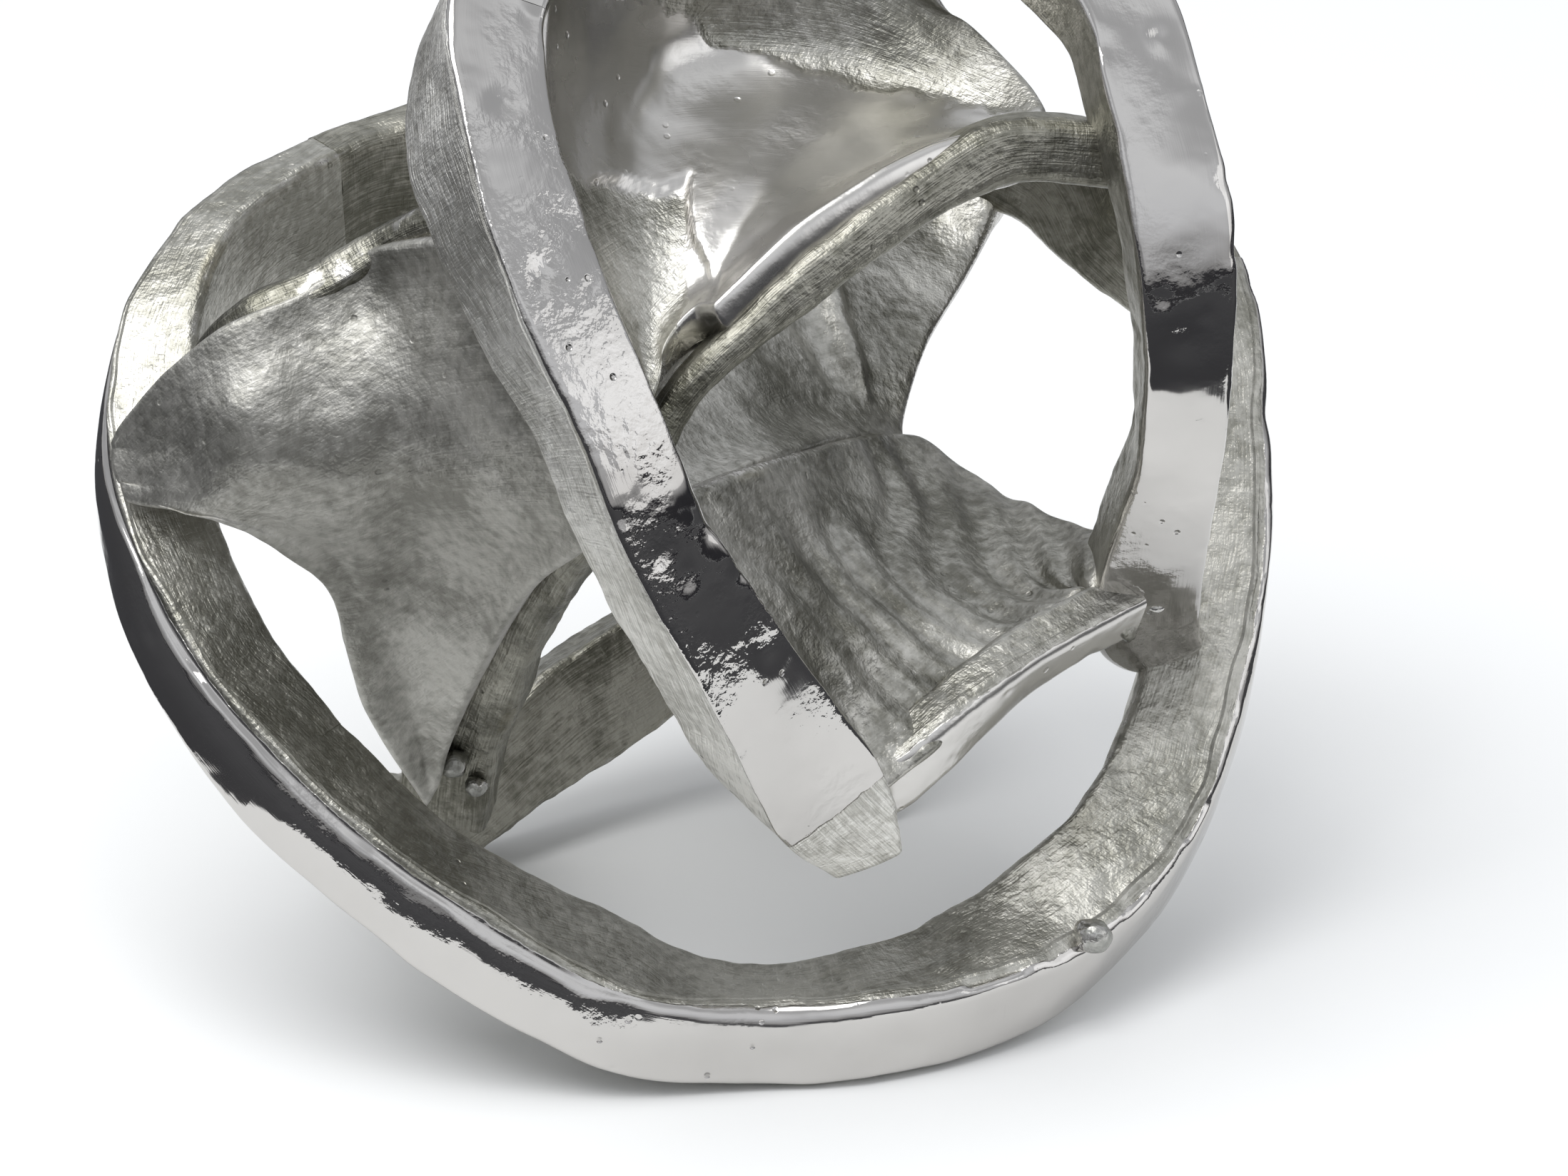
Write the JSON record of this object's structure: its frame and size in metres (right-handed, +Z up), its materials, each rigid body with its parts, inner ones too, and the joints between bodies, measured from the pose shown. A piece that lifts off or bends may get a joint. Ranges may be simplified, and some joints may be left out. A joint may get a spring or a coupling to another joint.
{
  "type": "cast metal knot sculpture",
  "caption": "Free-standing desk sculpture: polished cast metal bands bent into an open knot round a tilted base ring, joined by thin curved webs with satin faces.",
  "frame": {"origin": "on the resting plane, under the middle of the object's extents", "axes": "+Z up, -Y towards the viewer of the front strap, +X to that viewer's right"},
  "size_m": [0.216, 0.1834, 0.2151],
  "materials": {
    "polished_casting": "mirror-polished outer faces, satin cast sides",
    "satin_casting": "satin, sand-cast grain",
    "web_casting": "satin to half polished, sand-cast grain",
    "weld_metal": "bright lumpy weld",
    "pad_rubber": "matt soft rubber"
  },
  "bodies": {
    "root": {"ring_front": "polished_casting", "ring_right": "polished_casting", "ring_rear": "satin_casting", "ring_left": "polished_casting", "front_strap_lower": "polished_casting", "front_strap_upper": "polished_casting", "crown_bar": "polished_casting", "right_strap": "polished_casting", "lower_rim": "satin_casting", "upper_rim": "satin_casting", "left_rim": "satin_casting", "upper_web": "web_casting", "rear_wall": "web_casting", "lower_web": "web_casting", "left_web": "web_casting", "diagonal_bar": "satin_casting", "foot_bar": "satin_casting", "rear_strap": "polished_casting", "rear_leg": "satin_casting", "weld_nubs": "weld_metal", "rest_pads": "pad_rubber"}
  },
  "joints": []
}
